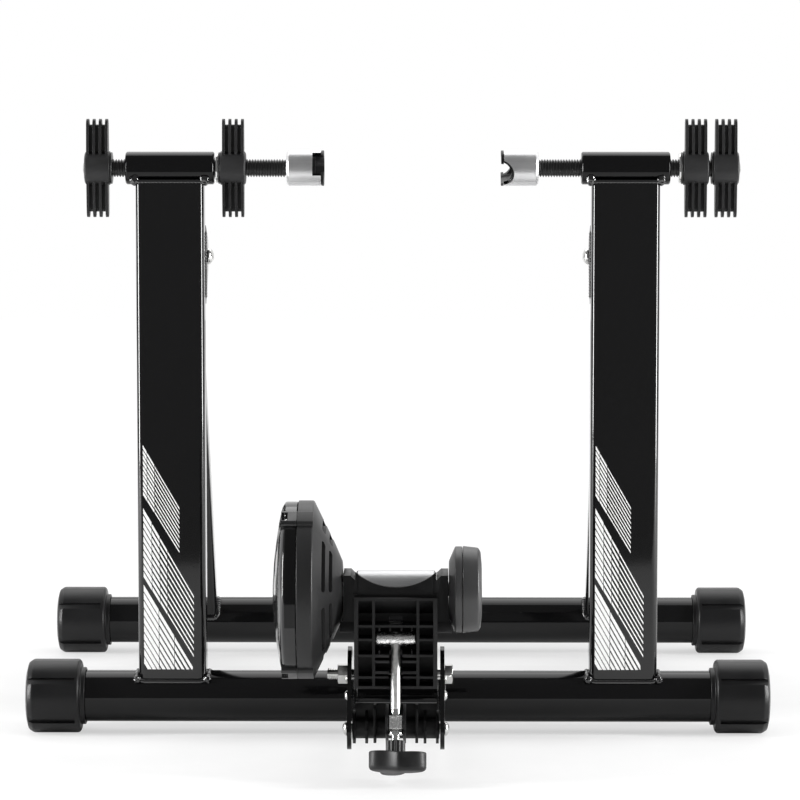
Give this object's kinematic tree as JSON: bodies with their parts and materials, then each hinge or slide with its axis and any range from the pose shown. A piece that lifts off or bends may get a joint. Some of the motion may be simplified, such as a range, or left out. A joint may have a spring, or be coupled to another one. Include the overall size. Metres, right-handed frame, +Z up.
{
  "type": "folding magnetic bicycle trainer",
  "caption": "Folding steel A-frame stand that holds a bicycle's rear axle in screwed cups over a roller with a magnetic brake drum, for riding in place.",
  "frame": {"origin": "on the floor under the middle of the open stand's outer box", "axes": "+Z up, +X to the right as seen from the roller's side, +Y from the roller towards the frame that folds"},
  "size_m": [0.5726, 0.5913, 0.4548],
  "materials": {
    "black_steel": "semi-gloss black powder coat",
    "black_plastic": "fine-textured moulded nylon",
    "liner_plastic": "smooth black plastic",
    "nylon_bush": "plain black nylon",
    "zinc_steel": "bright zinc plate",
    "thread_steel": "black oxide on a rolled thread",
    "dark_steel": "dull grey plate",
    "aluminium": "turned aluminium",
    "roller_steel": "ground steel",
    "cast_weight": "machined cast iron",
    "ferrite": "plain sintered ferrite"
  },
  "bodies": {
    "front_frame": {"front_base_tube": "black_steel", "left_upright_tube": "black_steel", "right_upright_tube": "black_steel", "left_axle_sleeve": "black_steel", "right_axle_sleeve": "black_steel", "left_fold_bracket": "black_steel", "right_fold_bracket": "black_steel", "front_left_foot": "black_plastic", "front_right_foot": "black_plastic", "left_fold_rivet": "zinc_steel", "right_fold_rivet": "zinc_steel", "left_mount_plate": "black_steel", "right_mount_plate": "black_steel", "unit_pivot_bolt": "zinc_steel", "unit_pivot_nut": "zinc_steel", "rocker_pin": "zinc_steel"},
    "rear_frame": {"rear_base_tube": "black_steel", "left_rear_leg": "black_steel", "right_rear_leg": "black_steel", "rear_left_foot": "black_plastic", "rear_right_foot": "black_plastic", "left_leg_bush": "nylon_bush", "right_leg_bush": "nylon_bush"},
    "resistance_unit": {"yoke": "black_plastic", "left_roller_bearing": "zinc_steel", "right_roller_bearing": "zinc_steel", "drum_housing": "black_plastic", "drum_cover": "black_plastic", "drum_screw_top": "zinc_steel", "drum_screw_rear": "zinc_steel", "drum_screw_bottom": "zinc_steel", "magnet_plate": "dark_steel", "ring_magnet": "ferrite", "small_housing": "black_plastic", "small_cover": "black_plastic"},
    "rotor": {"roller": "roller_steel", "roller_shaft": "zinc_steel", "brake_disc": "aluminium", "balance_wheel": "cast_weight"},
    "rocker_arm": {"rocker": "black_plastic", "trunnion_block": "zinc_steel"},
    "tension_knob_and_screw": {"tension_screw": "zinc_steel", "tension_knob": "black_plastic"},
    "cross_bar": {"screw_cross_bar": "zinc_steel"},
    "left_cup": {"left_axle_cup": "aluminium", "left_cup_liner": "liner_plastic"},
    "left_rod": {"left_threaded_rod": "thread_steel", "left_end_knob": "black_plastic", "left_end_knob_nut": "dark_steel"},
    "left_lock_ring": {"left_lock_washer": "zinc_steel"},
    "left_lock": {"left_lock_knob": "black_plastic", "left_lock_knob_nut": "dark_steel"},
    "right_cup": {"right_axle_cup": "aluminium", "right_cup_liner": "liner_plastic"},
    "right_rod": {"right_threaded_rod": "thread_steel", "right_end_knob": "black_plastic", "right_end_knob_nut": "dark_steel"},
    "right_lock_ring": {"right_lock_washer": "zinc_steel"},
    "right_lock": {"right_lock_knob": "black_plastic", "right_lock_knob_nut": "dark_steel"}
  },
  "joints": [
    {"name": "rear_frame_fold", "type": "hinge", "parent": "front_frame", "child": "rear_frame", "pos_m": [0, -0.0485, 0.352], "axis": [-1, 0, 0], "range_deg": [0, 43]},
    {"name": "unit_tilt", "type": "hinge", "parent": "front_frame", "child": "resistance_unit", "pos_m": [0, -0.2215, 0.0685], "axis": [1, 0, 0], "range_deg": [0, 16]},
    {"name": "roller_spin", "type": "hinge", "parent": "resistance_unit", "child": "rotor", "pos_m": [0, -0.2335, 0.1305], "axis": [1, 0, 0], "continuous": true},
    {"name": "rocker_swing", "type": "hinge", "parent": "front_frame", "child": "rocker_arm", "pos_m": [0, -0.2465, 0.034], "axis": [1, 0, 0], "range_deg": [0, 4.45]},
    {"name": "tension_knob_spin", "type": "hinge", "parent": "rocker_arm", "child": "tension_knob_and_screw", "pos_m": [0, -0.2495, 0.098], "axis": [0, 0.3198, 0.9475], "range_deg": [0, 2510]},
    {"name": "cross_bar_slide", "type": "slide", "parent": "rocker_arm", "child": "cross_bar", "axis": [0, -0.3198, -0.9475], "range_m": [0, 0.00873]},
    {"name": "left_cup_slide", "type": "slide", "parent": "front_frame", "child": "left_cup", "axis": [1, 0, 0], "range_m": [-0.015, 0.0094]},
    {"name": "left_end_knob_spin", "type": "hinge", "parent": "left_cup", "child": "left_rod", "pos_m": [0, -0.0815, 0.4188], "axis": [1, 0, 0], "range_deg": [-2702, 1694]},
    {"name": "left_lock_slide", "type": "slide", "parent": "front_frame", "child": "left_lock_ring", "axis": [1, 0, 0], "range_m": [-0.0009, 0.014]},
    {"name": "left_lock_knob_spin", "type": "hinge", "parent": "left_lock_ring", "child": "left_lock", "pos_m": [0, -0.0815, 0.4188], "axis": [1, 0, 0], "range_deg": [-164, 2522]},
    {"name": "right_cup_slide", "type": "slide", "parent": "front_frame", "child": "right_cup", "axis": [1, 0, 0], "range_m": [-0.0012, 0.03]},
    {"name": "right_end_knob_spin", "type": "hinge", "parent": "right_cup", "child": "right_rod", "pos_m": [0, -0.0815, 0.4188], "axis": [1, 0, 0], "range_deg": [-218, 5402]},
    {"name": "right_lock_slide", "type": "slide", "parent": "front_frame", "child": "right_lock_ring", "axis": [1, 0, 0], "range_m": [-0.006, 0]},
    {"name": "right_lock_knob_spin", "type": "hinge", "parent": "right_lock_ring", "child": "right_lock", "pos_m": [0, -0.0815, 0.4188], "axis": [1, 0, 0], "range_deg": [-1082, 0]}
  ],
  "couplings": [
    {"joint": "tension_knob_spin", "follows": "unit_tilt", "ratio": 156.77},
    {"joint": "rocker_swing", "follows": "unit_tilt", "ratio": 0.2751},
    {"joint": "cross_bar_slide", "follows": "unit_tilt", "m_per_rad": 0.031189},
    {"joint": "left_end_knob_spin", "follows": "left_cup_slide", "rad_per_m": 3141.6},
    {"joint": "left_lock_knob_spin", "follows": "left_lock_slide", "rad_per_m": 3141.6},
    {"joint": "right_end_knob_spin", "follows": "right_cup_slide", "rad_per_m": 3141.6},
    {"joint": "right_lock_knob_spin", "follows": "right_lock_slide", "rad_per_m": 3141.6}
  ]
}
